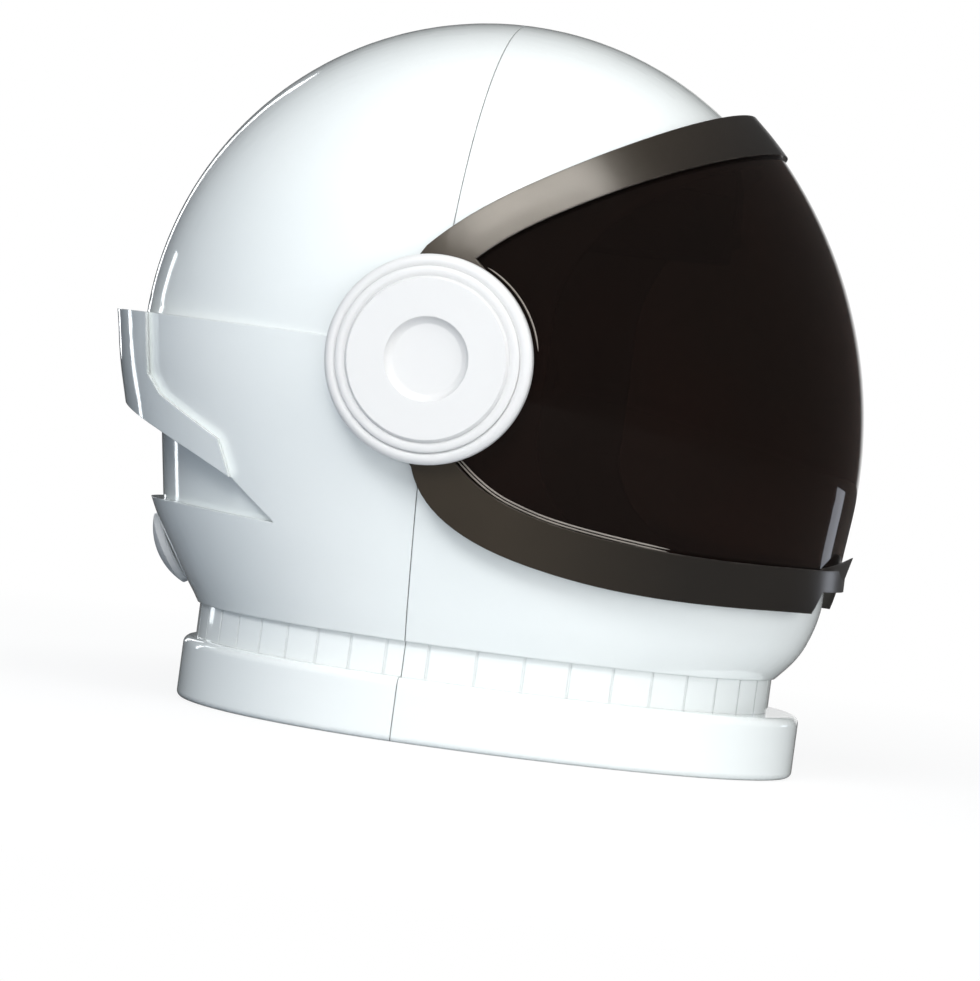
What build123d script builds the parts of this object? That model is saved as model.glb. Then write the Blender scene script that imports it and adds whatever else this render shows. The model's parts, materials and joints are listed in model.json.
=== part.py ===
from build123d import *
from math import asin, cos, degrees, radians, sin, sqrt
import os

# An astronaut helmet with a visor that swings up, all sizes in millimetres.
# X points forward, Y to the wearer's left, Z up, with Z zero at the ring's underside.

# Visor pivot, and the furthest reaches fore and aft of it
body_rear = 161.0
strap_rise = 3.2
rear_reach = body_rear + strap_rise
front_reach = 170.8
pivot_x = (rear_reach - front_reach) / 2
pivot_z = 159.5

# Hard shell: dome, body, wall and the seam between its two halves
dome_radius = 150.7
dome_half_width = 141.9
wall = 3.0
seam_gap = 0.3
overrun = 40.0
running_clearance = 0.05

ledge_height = 164.0
body_bottom = 42.0
body_front = 160.0
body_half_width = 142.1
# Height, rear, front and width of the body's level sections
body_shares = (
    (0.000, 0.694, 0.900, 0.809),
    (0.041, 0.714, 0.928, 0.823),
    (0.098, 0.745, 0.959, 0.841),
    (0.164, 0.778, 0.981, 0.859),
    (0.246, 0.817, 0.997, 0.881),
    (0.344, 0.857, 1.000, 0.905),
    (0.459, 0.894, 0.994, 0.931),
    (0.590, 0.925, 0.981, 0.959),
    (0.738, 0.957, 0.969, 0.984),
    (0.885, 0.983, 0.956, 0.998),
    (1.000, 1.000, 0.947, 1.000),
)

# Grooved neck and the ring that the helmet stands on
neck_rear = 110.5
neck_front = 142.5
neck_half_width = 112.5
neck_wall = 3.0
neck_groove_count = 44
neck_groove_width = 0.9
neck_groove_depth = 0.4
ring_height = 27.0
ring_rear = 115.5
ring_front = 156.5
ring_half_width = 120.5
ring_top_radius = 3.5
ring_foot_radius = 2.5
ring_wall = 4.5

# Strap moulded round the back of the head, seen from the side
strap_inner_x = -136.0
strap_step_x = -132.0
strap_step_z = 138.0
strap_turn_x = -124.0
strap_turn_z = 130.0
strap_knee_x = -91.0
strap_knee_z = 115.0
strap_tip_x = -84.0
strap_tip_z = 99.5

# Wedge-shaped recess under the strap, seen from the side
recess_depth = 3.2
recess_top_rear_x = -154.0
recess_top_rear_z = 125.0
recess_top_side_x = -124.0
recess_top_side_z = 115.0
recess_top_mid_x = -102.0
recess_top_mid_z = 107.0
recess_tip_x = -62.0
recess_tip_z = 83.5
recess_lip_x = -116.0
recess_lip_z = 85.0
recess_lip_rear_z = 82.5
recess_floor_bottom = 72.0
recess_floor_top = 138.0
recess_floor_bottom_rear = 131.0
recess_floor_top_rear = 141.0

# Face opening of the front shell, seen from the side
opening_side_x = 46.5
opening_top_points = (
    (51.0, 205.0),
    (76.0, 238.0),
    (112.0, 262.0),
)
opening_side_top_z = 178.0
opening_side_low_z = 132.0
opening_low_points = (
    (56.0, 107.0),
    (86.0, 89.0),
    (125.0, 86.0),
)

# Visor: an arc seen from the side, with its half width at the pivot
visor_arc_x = -29.6
visor_arc_z = 133.2
visor_arc_radius = 198.5
visor_half_width = 146.5
visor_rise_height = 157.0
visor_drop_height = 192.0
visor_thickness = 2.2
visor_sill_z = 98.0
visor_low = 62.0
visor_high = 300.0
visor_section_count = 12

# Bands of the visor's frame, seen from the side
band_rise = 2.6
frame_upper_points = (
    (-8.0, 206.0),
    (17.0, 228.5),
    (38.0, 243.0),
    (66.0, 261.0),
    (87.0, 274.0),
    (112.0, 288.0),
)
frame_lower_points = (
    (-2.0, 115.0),
    (6.0, 101.0),
    (23.0, 89.0),
    (51.0, 80.0),
    (83.0, 75.0),
    (112.0, 73.5),
    (150.0, 74.0),
)
window_upper_points = (
    (13.0, 203.0),
    (27.0, 215.5),
    (42.0, 226.0),
    (70.0, 243.0),
    (97.0, 257.5),
    (128.0, 272.0),
)
window_lower_points = (
    (16.0, 119.0),
    (34.0, 106.5),
    (58.0, 99.0),
    (90.0, 94.5),
    (120.0, 92.8),
    (150.0, 92.8),
)
window_back_x = 34.0
window_centre_x = 95.0
window_centre_z = 172.0
window_rebate_share = 1.045
eye_radius = 31.0
eye_root_x = 22.0
eye_seat_radius = 25.5
eye_seat_height = 146.2
front_notch_half_width = 43.0
front_notch_top_half_width = 34.0
front_notch_z = 83.5
tab_half_width = 47.0
tab_low_half_width = 40.0
tab_low_reach = 167.6
tab_low_z = 86.0
tab_top_z = 99.0
tab_bury = 17.0
tab_rise_x = 150.0
tab_rise_mid_x = 163.0
tab_rise_mid_z = 94.2

# Round ear caps and the pivots under them, heights taken from the middle plane
ear_radius = 43.3
ear_face = 155.0
ear_back = 146.4
ear_plateau_share = 0.79
ear_bead_share = 0.885
ear_shoulder = 1.0
ear_bead_drop = 1.3
ear_rim_drop = 2.6
ear_groove_depth = 0.7
ear_edge_drop = 5.2
ear_dish_radius = 17.5
ear_dish_wall = 1.5
ear_dish_depth = 3.0
ear_dish_mid_share = 0.72
ear_cap_wall = 2.6
ear_grip_wall = 3.0
hub_radius = 15.0
hub_top = 149.4
base_radius = 41.0
base_rise = 143.7
base_rise_radius = 153.6
collar_radius = 38.5
collar_top = 146.0
collar_start = 184.0
collar_sweep = 68.0
spigot_radius = 6.8
spigot_clearance = 0.2
pivot_screw_radius = 2.5
pivot_screw_length = 11.0
pivot_head_radius = 5.0
pivot_head_height = 3.0
pivot_washer_radius = 12.0
pivot_washer_thickness = 1.2
pivot_washer_seat = 138.1
friction_ring_radius = 24.5
friction_ring_inner_clearance = 0.3
friction_ring_thickness = 1.6

# Screws that pull the two shell halves together, seen in the seam plane
boss_radius = 5.5
boss_length = 9.0
boss_inset = 3.5
boss_crown_angle = 38.0
boss_side_share = 0.459
boss_low_share = 0.098
seam_screw_radius = 1.5
seam_screw_clearance = 0.1
seam_screw_grip = 7.0
seam_head_radius = 2.8
seam_head_height = 2.0

# Nape adjuster: a round knob outside, a screw spindle and a sliding pad inside
adjuster_x = -126.0
adjuster_z = 64.5
adjuster_tilt = 30.4
knob_radius = 16.6
knob_rim = 3.4
knob_height = 8.6
knob_gap = 0.3
knob_bevel = 0.8
bush_flange_radius = 11.0
bush_flange = 1.5
bush_radius = 6.9
bush_length = 7.5
bush_spot_depth = 0.7
bush_spot_clearance = 0.3
bush_clearance = 0.1
spindle_radius = 4.0
spindle_reach = 30.5
spindle_grip = 4.5
clip_radius = 6.0
clip_thickness = 1.0
bracket_half_length = 27.0
bracket_half_height = 11.0
bracket_front = 8.0
bracket_thickness = 5.0
bracket_corner_radius = 4.0
post_spacing = 21.5
post_radius = 4.5
guide_spacing = 13.0
guide_radius = 2.4
guide_sleeve_radius = 4.2
guide_sleeve_length = 7.0
guide_rear = 7.2
bracket_screw_radius = 1.5
bracket_screw_clearance = 0.1
bracket_screw_length = 8.0
bracket_head_radius = 2.8
bracket_head_height = 1.8
carrier_sleeve_radius = 7.0
carrier_sleeve_start = 20.0
carrier_bore_end = 31.3
carrier_plate_start = 32.0
carrier_plate_thickness = 3.0
carrier_half_length = 30.0
carrier_half_height = 17.0
carrier_corner_radius = 8.0
nape_pad_thickness = 13.0
nape_pad_margin = 3.0
nape_pad_edge = 4.0

# Suspension that carries the head inside the dome
band_centre_x = 2.0
band_low_z = 218.0
band_height = 28.0
band_thickness = 2.0
band_half_length = 98.0
band_half_width = 79.0
sweat_thickness = 5.0
sweat_margin = 2.0
sweat_start_x = 30.0
strap_width = 20.0
strap_thickness = 1.6
strap_low_z = 232.0
strap_top_z = 296.0
strap_clearance = 0.3
crown_pad_radius = 36.0
crown_pad_thickness = 11.0
crown_pad_edge = 3.0
strut_angle = 48.0
strut_radius = 5.5
strut_z = 233.0
strut_pin_radius = 2.4
strut_pin_length = 11.0
rivet_radius = 2.0
rivet_head_radius = 4.2
rivet_head_height = 1.2
rivet_z = 238.0


def level_section(height, rear, front, half_width):
    # A closed egg shape at one height, from two half ellipses
    outline = [
        EllipticalCenterArc((0, 0), rear, half_width, 90, arc_size=180),
        EllipticalCenterArc((0, 0), front, half_width, -90, arc_size=180),
    ]
    return Pos(pivot_x, 0, height) * make_face(outline)


def level_prism(height, depth, rear, front, half_width):
    return extrude(level_section(height, rear, front, half_width), depth, dir=(0, 0, 1))


def ellipsoid(radius, half_width):
    # Turned about the pivot axis, so a visor can sweep over it
    half = make_face([
        EllipticalCenterArc((0, 0), radius, half_width, -90, arc_size=180),
        Line((0, half_width), (0, -half_width)),
    ])
    return Pos(pivot_x, 0, pivot_z) * revolve(half, Axis.Y)


def side_prism(face):
    # A face drawn in the side view, run right across the helmet
    half = body_half_width + overrun
    placed = Plane((pivot_x, half, 0), x_dir=(1, 0, 0), z_dir=(0, -1, 0)) * face
    return extrude(placed, half + half, dir=(0, -1, 0))


def slab(low_x, high_x, low_y, high_y, low_z, high_z):
    size = (high_x - low_x, high_y - low_y, high_z - low_z)
    middle = ((low_x + high_x) / 2, (low_y + high_y) / 2, (low_z + high_z) / 2)
    return Pos(*middle) * Box(*size)


def body_loft(grow):
    sections = []
    for up, rear, front, width in body_shares:
        sections.append(level_section(
            body_bottom + up * (ledge_height - body_bottom),
            rear * body_rear + grow,
            front * body_front + grow,
            width * body_half_width + grow,
        ))
    return loft(sections)


def recess_floor(height):
    # How far back the floor of the recess lies at one height
    run = recess_floor_top_rear - recess_floor_bottom_rear
    lean = run / (recess_floor_top - recess_floor_bottom)
    return recess_floor_bottom_rear + (height - recess_floor_bottom) * lean


def core_loft(inset, low, high):
    # The body drawn in behind the recess, between two heights
    sections = []
    for up, rear, front, width in body_shares:
        height = body_bottom + up * (ledge_height - body_bottom)
        if low <= height <= high:
            reach = min(rear * body_rear, recess_floor(height))
            sections.append(level_section(
                height,
                reach - inset,
                front * body_front - inset,
                width * body_half_width - recess_depth - inset,
            ))
    return loft(sections)


def on_pivot(shape):
    # Turned shapes are drawn about the world's Y axis first
    return Pos(pivot_x, 0, pivot_z) * shape


def turned(points):
    # A closed outline of radius and height, turned about the pivot axis
    return on_pivot(revolve(make_face(Polyline(*points, close=True)), Axis.Y))


def turned_ring(inner, outer, low, high):
    return turned([(inner, low), (outer, low), (outer, high), (inner, high)])


def other_side(shape):
    return mirror(shape, about=Plane.XZ)


far = rear_reach + front_reach
span = far + far
standing = (Align.CENTER, Align.CENTER, Align.MIN)

# Outer skin of the shell: body, dome on top, neck and ring below
body = body_loft(0)
dome_outer = ellipsoid(dome_radius, dome_half_width)
dome_cap = dome_outer & slab(-far, far, -far, far, ledge_height, span)
neck = level_prism(ring_height - wall, body_bottom - ring_height + wall * 2,
                   neck_rear, neck_front, neck_half_width)
ring = level_prism(0, ring_height, ring_rear, ring_front, ring_half_width)
ring = fillet(ring.edges().group_by(Axis.Z)[-1], ring_top_radius)
ring = fillet(ring.edges().group_by(Axis.Z)[0], ring_foot_radius)

# Raised strap and the recess that it overhangs
strap_face = make_face(Polyline(
    (-far, ledge_height), (strap_inner_x, ledge_height), (strap_step_x, strap_step_z),
    (strap_turn_x, strap_turn_z), (strap_knee_x, strap_knee_z), (strap_tip_x, strap_tip_z),
    (recess_top_mid_x, recess_top_mid_z - strap_rise), (recess_top_side_x, recess_top_side_z - strap_rise),
    (recess_top_rear_x, recess_top_rear_z - strap_rise), (-far, recess_top_rear_z - strap_rise),
    close=True,
))
strap = body_loft(strap_rise) & side_prism(strap_face)
recess_face = make_face(Polyline(
    (-far, recess_top_rear_z), (recess_top_rear_x, recess_top_rear_z),
    (recess_top_side_x, recess_top_side_z), (recess_top_mid_x, recess_top_mid_z),
    (strap_tip_x, strap_tip_z), (recess_tip_x, recess_tip_z),
    (recess_lip_x, recess_lip_z), (-far, recess_lip_rear_z),
    close=True,
))
floor_core = core_loft(0, recess_floor_bottom - wall, recess_floor_top)
recess = side_prism(recess_face) - floor_core

skin = body + strap - recess + dome_cap + neck + ring

# Face opening, seen from the side
opening_rear = [(opening_side_x, opening_side_top_z), (opening_side_x, opening_side_low_z)]
opening_face = make_face([
    Spline(opening_rear[0], *opening_top_points),
    Polyline(opening_top_points[-1], (far, opening_top_points[-1][1]),
             (far, opening_low_points[-1][1]), opening_low_points[-1]),
    Spline(*reversed(opening_low_points), opening_rear[1]),
    Line(opening_rear[1], opening_rear[0]),
])
opening = side_prism(opening_face) & slab(pivot_x, far, -far, far, 0, span)

# Hollow inside of the shell
strap_hollow = body_loft(-wall) & slab(-far, far, -far, far, recess_top_rear_z + wall, ledge_height - wall)
dome_inner = ellipsoid(dome_radius - wall, dome_half_width - wall)
dome_hollow = dome_inner & slab(-far, far, -far, far, ledge_height - wall, span)
core_hollow = core_loft(wall, body_bottom, recess_floor_top)
neck_bore = level_prism(0, body_bottom + wall, neck_rear - neck_wall,
                        neck_front - neck_wall, neck_half_width - neck_wall)
ring_bore = level_prism(-overrun, overrun + ring_height - wall, ring_rear - ring_wall,
                        ring_front - ring_wall, ring_half_width - ring_wall)
shell = skin - opening - core_hollow - strap_hollow - dome_hollow - neck_bore - ring_bore


def neck_grooves():
    # Upright grooves all round the neck
    cuts = []
    for index in range(neck_groove_count):
        angle = radians((index + 1 / 2) * 360 / neck_groove_count)
        reach = neck_front if cos(angle) > 0 else neck_rear
        x = reach * cos(angle)
        y = neck_half_width * sin(angle)
        heading = Vector(cos(angle) / reach, sin(angle) / neck_half_width, 0)
        place = Plane((pivot_x + x, y, (ring_height + body_bottom) / 2), x_dir=heading, z_dir=(0, 0, 1))
        cuts.append(place * Box(neck_groove_depth * 2, neck_groove_width, body_bottom - ring_height))
    return cuts


shell = shell - neck_grooves()


def share_at(share):
    # The body section at one height share: its height and its half width
    up, rear, front, width = next(row for row in body_shares if row[0] == share)
    return body_bottom + up * (ledge_height - body_bottom), width * body_half_width


def boss_places():
    # Points in the seam plane where a screw joins the halves
    inset = wall + boss_inset
    angle = radians(boss_crown_angle)
    places = [((dome_half_width - inset) * sin(angle), pivot_z + (dome_radius - inset) * cos(angle))]
    for share in (boss_side_share, boss_low_share):
        height, half_width = share_at(share)
        places.append((half_width - recess_depth - inset, height))
    return places + [(-y, z) for y, z in places]


def along_x(x, y, z, radius, length):
    return Plane((pivot_x + x, y, z), z_dir=(1, 0, 0)) * Cylinder(radius, length, align=standing)


bosses = []
seam_holes = []
seam_screws = []
for y, z in boss_places():
    bosses.append(along_x(-boss_length, y, z, boss_radius, boss_length + boss_length) & skin)
    seam_holes.append(along_x(-boss_length, y, z, seam_screw_radius + seam_screw_clearance,
                              boss_length + seam_screw_grip))
    shank = along_x(-boss_length, y, z, seam_screw_radius, boss_length + seam_screw_grip)
    head = along_x(-boss_length - seam_head_height, y, z, seam_head_radius, seam_head_height)
    seam_screws.append(shank + head)
shell = shell + bosses
shell = shell - seam_holes

# Pivot holes at the ears, split by the seam
spigot_hole = spigot_radius + spigot_clearance
shell = shell - turned([(0, -far), (spigot_hole, -far), (spigot_hole, far), (0, far)])

# Seat and hole for the nape adjuster
adjuster = Plane(
    (pivot_x + adjuster_x, 0, adjuster_z),
    x_dir=(0, 1, 0),
    z_dir=(-cos(radians(adjuster_tilt)), 0, -sin(radians(adjuster_tilt))),
)


def upright(radius, low, high, x=0.0):
    # A round bar along the adjuster's axis, between two heights over the shell
    return adjuster * Pos(x, 0, low) * Cylinder(radius, high - low, align=standing)


posts = []
post_holes = []
screw_end = bracket_screw_length - bracket_front - bracket_thickness
for side in (-post_spacing, post_spacing):
    posts.append(upright(post_radius, -bracket_front, wall, side) & skin)
    post_holes.append(upright(bracket_screw_radius, -bracket_front, screw_end, side))
shell = shell + posts
shell = shell - upright(bush_flange_radius + bush_spot_clearance, -bush_spot_depth, overrun)
shell = shell - upright(bush_radius + bush_clearance, -bush_length - bracket_front, overrun)
shell = shell - post_holes

half_gap = seam_gap / 2
front_shell = shell & slab(pivot_x + half_gap, far, -far, far, -far, span)
rear_shell = shell & slab(-span, pivot_x - half_gap, -far, far, -far, span)


def visor_loft(grow):
    # The visor's swept skin, grown outward
    sections = []
    for index in range(visor_section_count):
        height = visor_low + (visor_high - visor_low) * index / (visor_section_count - 1)
        drop = max(height, visor_sill_z) - visor_arc_z
        reach = visor_arc_x + sqrt(visor_arc_radius ** 2 - drop ** 2)
        bulge = visor_rise_height if height > pivot_z else visor_drop_height
        width = visor_half_width * sqrt(1 - ((height - pivot_z) / bulge) ** 2)
        sections.append(level_section(height, reach + grow, reach + grow, width + grow))
    return loft(sections)


def window_outline(share):
    # The window seen from the side, scaled about its middle
    def placed(x, z):
        return (window_centre_x + (x - window_centre_x) * share,
                window_centre_z + (z - window_centre_z) * share)

    upper = [placed(*point) for point in window_upper_points]
    lower = [placed(*point) for point in window_lower_points]
    middle = (window_upper_points[0][1] + window_lower_points[0][1]) / 2
    return make_face([
        Spline(*upper),
        Polyline(upper[-1], (far, upper[-1][1]), (far, lower[-1][1]), lower[-1]),
        Spline(*reversed(lower)),
        ThreePointArc(lower[0], placed(window_back_x, middle), upper[0]),
    ])


frame_outline = make_face([
    Spline(*frame_upper_points),
    Polyline(frame_upper_points[-1], (far, frame_upper_points[-1][1]),
             (far, frame_lower_points[-1][1]), frame_lower_points[-1]),
    Spline(*reversed(frame_lower_points)),
    Polyline(frame_lower_points[0], (-eye_root_x, pivot_z - eye_root_x),
             (-eye_root_x, pivot_z + eye_root_x), frame_upper_points[0]),
])

# Visor: a window let into the back of a frame of raised bands
visor_inner = visor_loft(-visor_thickness)
visor_window = (visor_loft(0) - visor_inner) & side_prism(window_outline(window_rebate_share))
frame_region = side_prism(frame_outline) + turned_ring(0, eye_radius, -far, far)
visor_frame = (visor_loft(band_rise) - visor_inner) & frame_region
visor_frame = visor_frame - side_prism(window_outline(1)) - visor_window
notch_face = make_face(Polyline(
    (-front_notch_half_width, frame_lower_points[-1][1]), (-front_notch_top_half_width, front_notch_z),
    (front_notch_top_half_width, front_notch_z), (front_notch_half_width, frame_lower_points[-1][1]),
    close=True,
))
notch = extrude(Plane((0, 0, 0), x_dir=(0, 1, 0), z_dir=(1, 0, 0)) * notch_face, far)
visor_frame = visor_frame - notch
tab_root = front_reach - tab_bury


def tab_level(height, reach, half_width):
    # One level of the lip that a finger lifts
    return Pos(pivot_x, 0, height) * make_face([
        ThreePointArc((tab_root, -half_width), (reach, 0), (tab_root, half_width)),
        Line((tab_root, half_width), (tab_root, -half_width)),
    ])


lift_tab = loft([tab_level(tab_low_z, tab_low_reach, tab_low_half_width),
                 tab_level(tab_top_z, front_reach, tab_half_width)])
tab_low_corner = (tab_rise_x, window_lower_points[-1][1])
tab_face = make_face([
    ThreePointArc(tab_low_corner, (tab_rise_mid_x, tab_rise_mid_z), (front_reach, tab_top_z)),
    Polyline((front_reach, tab_top_z), (far, tab_top_z), (far, 0), (tab_rise_x, 0), tab_low_corner),
])
lift_tab = lift_tab & side_prism(tab_face)
visor_frame = visor_frame + (lift_tab - visor_loft(0))
hub_hole = hub_radius + running_clearance
visor_frame = visor_frame - turned_ring(0, hub_hole, -far, far)
for low, high in ((eye_seat_height, far), (-far, -eye_seat_height)):
    visor_frame = visor_frame - turned_ring(0, eye_seat_radius, low, high)

# Ear caps: a stepped face with beads, a finger dish and a grip on the hub
rim_inner = ear_radius * ear_bead_share
bead_inner = ear_radius * ear_plateau_share
rim_top = ear_face - ear_rim_drop
bead_top = ear_face - ear_bead_drop
seat_top = eye_seat_height + running_clearance + friction_ring_thickness
cap_lines = [
    Polyline((0, hub_top), (hub_radius, hub_top), (hub_radius, seat_top),
             (hub_radius + ear_grip_wall, seat_top), (hub_radius + ear_grip_wall, hub_top),
             (ear_radius - ear_cap_wall, hub_top), (ear_radius - ear_cap_wall, ear_back),
             (ear_radius, ear_back), (ear_radius, ear_face - ear_edge_drop)),
    ThreePointArc((ear_radius, ear_face - ear_edge_drop), ((ear_radius + rim_inner) / 2, rim_top),
                  (rim_inner, rim_top - ear_groove_depth)),
    Line((rim_inner, rim_top - ear_groove_depth), (rim_inner, bead_top - ear_groove_depth)),
    ThreePointArc((rim_inner, bead_top - ear_groove_depth), ((rim_inner + bead_inner) / 2, bead_top),
                  (bead_inner, bead_top - ear_groove_depth)),
    Polyline((bead_inner, bead_top - ear_groove_depth), (bead_inner - ear_shoulder, ear_face),
             (ear_dish_radius, ear_face)),
    ThreePointArc((ear_dish_radius, ear_face),
                  (ear_dish_radius - ear_dish_wall, ear_face - ear_dish_depth * ear_dish_mid_share),
                  (ear_dish_radius - ear_dish_wall * 2, ear_face - ear_dish_depth)),
    Polyline((ear_dish_radius - ear_dish_wall * 2, ear_face - ear_dish_depth),
             (0, ear_face - ear_dish_depth), (0, hub_top)),
]
ear_cap_left = on_pivot(revolve(make_face(cap_lines), Axis.Y))

# Ear bases: a pad on the shell, the hub the visor turns on, and a stop collar
base_pad = ellipsoid(base_rise_radius, base_rise) & turned_ring(0, base_radius, 0, far)
collar_reach = base_radius + base_radius
collar_points = [(0, pivot_z)]
for step in range(3):
    angle = radians(collar_start + collar_sweep * step / 2)
    collar_points.append((collar_reach * cos(angle), pivot_z + collar_reach * sin(angle)))
collar_face = make_face(Polyline(*collar_points, close=True))
collar = turned_ring(collar_radius, base_radius, 0, collar_top) & side_prism(collar_face)
ear_base_left = base_pad + turned_ring(0, hub_radius, 0, hub_top) + collar - skin
ear_base_left = ear_base_left + turned_ring(0, spigot_radius, pivot_washer_seat, base_rise)
screw_low = pivot_washer_seat - pivot_washer_thickness
screw_high = screw_low + pivot_screw_length
ear_base_left = ear_base_left - turned_ring(0, pivot_screw_radius, 0, screw_high)
friction_ring_left = turned_ring(hub_radius + friction_ring_inner_clearance, friction_ring_radius,
                                 eye_seat_height + running_clearance, seat_top)
pivot_washer = turned_ring(pivot_screw_radius, pivot_washer_radius, screw_low, pivot_washer_seat)
pivot_screw = turned_ring(0, pivot_screw_radius, screw_low, screw_high)
pivot_screw = pivot_screw + turned_ring(0, pivot_head_radius, screw_low - pivot_head_height, screw_low)

# Nape adjuster, drawn along its own axis with zero at the shell's surface
flange_low = -bush_spot_depth
flange_high = flange_low + bush_flange
bush = upright(bush_flange_radius, flange_low, flange_high) + upright(bush_radius, -bush_length, flange_low)
bush = bush - upright(spindle_radius + running_clearance, -bush_length, flange_high)
knob_low = flange_high + knob_gap
knob_top = knob_low + knob_height
crown_rise = knob_height - knob_rim
crown_radius = (knob_radius ** 2 + crown_rise ** 2) / (2 * crown_rise)
crown_sweep = degrees(asin(knob_radius / crown_radius))
knob_face = make_face([
    Polyline((0, knob_top), (0, knob_low + spindle_grip), (spindle_radius, knob_low + spindle_grip),
             (spindle_radius, knob_low), (knob_radius - knob_bevel, knob_low),
             (knob_radius, knob_low + knob_bevel), (knob_radius, knob_low + knob_rim)),
    CenterArc((0, knob_top - crown_radius), crown_radius, 90 - crown_sweep, crown_sweep),
])
knob = adjuster * revolve(Plane.XZ * knob_face, Axis.Z)
spindle = upright(spindle_radius, -spindle_reach, knob_low + spindle_grip)
bracket_low = -bracket_front - bracket_thickness
clip = upright(clip_radius, bracket_low - knob_gap - clip_thickness, bracket_low - knob_gap)
clip = clip - upright(spindle_radius, -spindle_reach, 0)


def adjuster_plate(half_length, half_height, corner, low, high):
    # A plate with round corners, square to the adjuster's axis
    face = RectangleRounded(half_length * 2, half_height * 2, corner)
    return adjuster * Pos(0, 0, low) * extrude(face, high - low)


bracket = adjuster_plate(bracket_half_length, bracket_half_height, bracket_corner_radius,
                         bracket_low, -bracket_front)
bracket = bracket - upright(spindle_radius + running_clearance, bracket_low, 0)
carrier = adjuster_plate(carrier_half_length, carrier_half_height, carrier_corner_radius,
                         -carrier_plate_start - carrier_plate_thickness, -carrier_plate_start)
carrier = carrier + upright(carrier_sleeve_radius, -carrier_plate_start, -carrier_sleeve_start)
carrier = carrier - upright(spindle_radius + running_clearance, -carrier_bore_end, 0)
bracket_screws = []
for side in (-1, 1):
    sleeve_low = bracket_low - guide_sleeve_length
    bracket = bracket + upright(guide_sleeve_radius, sleeve_low, bracket_low, side * guide_spacing)
    bracket = bracket - upright(guide_radius + running_clearance, sleeve_low, 0, side * guide_spacing)
    bracket = bracket - upright(bracket_screw_radius + bracket_screw_clearance, bracket_low, 0,
                                side * post_spacing)
    carrier = carrier + upright(guide_radius, -carrier_plate_start, -guide_rear, side * guide_spacing)
    head = upright(bracket_head_radius, bracket_low - bracket_head_height, bracket_low, side * post_spacing)
    bracket_screws.append(head + upright(bracket_screw_radius, bracket_low, screw_end, side * post_spacing))
pad_high = -carrier_plate_start - carrier_plate_thickness
pad_low = pad_high - nape_pad_thickness
nape_pad = adjuster_plate(carrier_half_length - nape_pad_margin, carrier_half_height - nape_pad_margin,
                          carrier_corner_radius - nape_pad_margin / 2, pad_low, pad_high)
pad_face = nape_pad.faces().sort_by(Axis(adjuster.origin, adjuster.z_dir))[0]
nape_pad = fillet(pad_face.edges(), nape_pad_edge)


def hoop(inset, low, high, half_length=band_half_length, half_width=band_half_width):
    # A level elliptical disc about the headband's middle, joined clear of its holes
    face = make_face([
        EllipticalCenterArc((0, 0), half_length - inset, half_width - inset, join_angle, arc_size=180)
        for join_angle in (strut_angle / 2, strut_angle / 2 + 180)
    ])
    return Pos(pivot_x + band_centre_x, 0, low) * extrude(face, high - low, dir=(0, 0, 1))


# Headband and the struts that hold it inside the dome
band_high = band_low_z + band_height
headband = hoop(0, band_low_z, band_high) - hoop(band_thickness, band_low_z, band_high)
sweat_low = band_low_z + sweat_margin
sweat_high = band_high - sweat_margin
sweatband = hoop(band_thickness, sweat_low, sweat_high) - hoop(
    band_thickness + sweat_thickness, sweat_low, sweat_high)
sweatband = sweatband & slab(pivot_x + sweat_start_x, far, -far, far, 0, span)


def band_plane(angle, height):
    # Stands on the headband's outer face, looking outward
    x = band_half_length * cos(radians(angle))
    y = band_half_width * sin(radians(angle))
    outward = (cos(radians(angle)), sin(radians(angle)), 0)
    return Plane((pivot_x + band_centre_x + x, y, height), z_dir=outward)


def bar_out(angle, height, radius, low, high):
    return band_plane(angle, height) * Pos(0, 0, low) * Cylinder(radius, high - low, align=standing)


struts = []
strut_pins = []
for angle in (strut_angle, 180 - strut_angle, 180 + strut_angle, -strut_angle):
    pin = bar_out(angle, strut_z, strut_pin_radius, -band_thickness * 2, strut_pin_length)
    pin = pin - hoop(band_thickness, band_low_z, band_high)
    strut = bar_out(angle, strut_z, strut_radius, -strut_radius, band_half_length) & dome_inner
    struts.append(strut - hoop(0, band_low_z - strut_radius, band_high + strut_radius) - pin)
    strut_pins.append(pin)
    headband = headband - pin


def crown_strap(half_length, top):
    # Two legs beside the band, joined by an arch over the top
    rise = top - band_high
    outer = Ellipse(half_length + strap_thickness, rise)
    inner = Ellipse(half_length, rise - strap_thickness)
    arch = (outer - inner) & Pos(0, half_length) * Rectangle(half_length * 4, half_length * 2)
    leg = Rectangle(strap_thickness, band_high - strap_low_z, align=(Align.MIN, Align.MAX))
    legs = Pos(half_length, 0) * leg + Pos(-half_length - strap_thickness, 0) * leg
    return extrude(Plane.XZ * (arch + legs), strap_width / 2, both=True)


place = Pos(pivot_x + band_centre_x, 0, band_high)
long_strap = place * crown_strap(band_half_length + strap_clearance, strap_top_z)
cross_top = strap_top_z - strap_thickness - strap_clearance - strap_clearance
cross_strap = place * Rot(0, 0, 90) * crown_strap(band_half_width + strap_clearance, cross_top)
strap_rivets = []
for angle in (0, 90, 180, 270):
    shank_high = strap_clearance + strap_thickness
    rivet = bar_out(angle, rivet_z, rivet_radius, -band_thickness, shank_high)
    rivet = rivet + bar_out(angle, rivet_z, rivet_head_radius, shank_high, shank_high + rivet_head_height)
    strap_rivets.append(rivet)
    headband = headband - rivet
    long_strap = long_strap - rivet
    cross_strap = cross_strap - rivet

# Soft crown pad under the crossing
pad_reach = band_half_width
pad_rise = cross_top - band_high - strap_thickness - strap_clearance


def pad_dome(inset):
    # A dome turned about the vertical, drawn in by the inset
    half = make_face([
        EllipticalCenterArc((0, 0), pad_reach - inset, pad_rise - inset, -90, arc_size=180),
        Line((0, pad_rise - inset), (0, inset - pad_rise)),
    ])
    return place * revolve(Plane.XZ * half, Axis.Z)


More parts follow.
